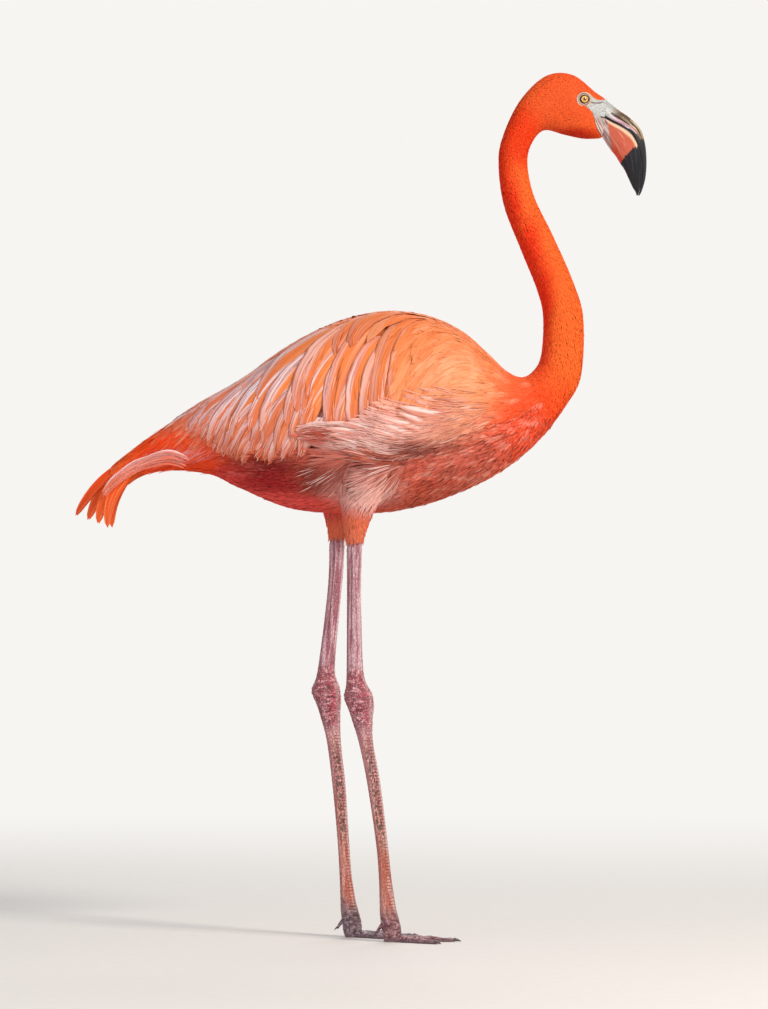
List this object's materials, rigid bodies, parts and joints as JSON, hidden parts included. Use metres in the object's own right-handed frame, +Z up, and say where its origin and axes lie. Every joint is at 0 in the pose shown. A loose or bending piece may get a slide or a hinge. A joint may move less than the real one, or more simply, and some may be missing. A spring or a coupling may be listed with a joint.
{
  "type": "flamingo",
  "caption": "Life-size still model of an American flamingo that stands on both webbed feet with its neck raised in an S.",
  "frame": {"origin": "middle of the bounding box, on the floor under the soles", "axes": "+X the way the bird faces, +Y to its left side, +Z up"},
  "size_m": [0.7666, 0.1852, 1.1656],
  "materials": {
    "plumage": "soft matt red-orange feathers",
    "wing_feathers": "soft matt orange and pale pink feathers",
    "tail_feathers": "soft matt orange feathers with pale coverts",
    "leg_skin": "scaly pink skin",
    "foot_skin": "purple-grey webbed skin",
    "bill_upper": "satin horn, pale pink with a black tip",
    "bill_lower": "satin horn, rose with a black tip",
    "claw_horn": "dark horn",
    "eye": "glossy pale yellow iris with a black pupil"
  },
  "bodies": {
    "root": {"trunk": "plumage", "neck_lower": "plumage", "neck_middle": "plumage", "neck_upper": "plumage", "head": "plumage", "bill_upper": "bill_upper", "bill_lower": "bill_lower", "tail": "tail_feathers", "eye_right": "eye", "wing_right": "wing_feathers", "thigh_right": "plumage", "shank_right": "leg_skin", "hock_right": "leg_skin", "tarsus_right": "leg_skin", "foot_right": "foot_skin", "claw_right_inner": "claw_horn", "claw_right_middle": "claw_horn", "claw_right_outer": "claw_horn", "claw_right_hind": "claw_horn", "eye_left": "eye", "wing_left": "wing_feathers", "thigh_left": "plumage", "shank_left": "leg_skin", "hock_left": "leg_skin", "tarsus_left": "leg_skin", "foot_left": "foot_skin", "claw_left_inner": "claw_horn", "claw_left_middle": "claw_horn", "claw_left_outer": "claw_horn", "claw_left_hind": "claw_horn"}
  },
  "joints": []
}
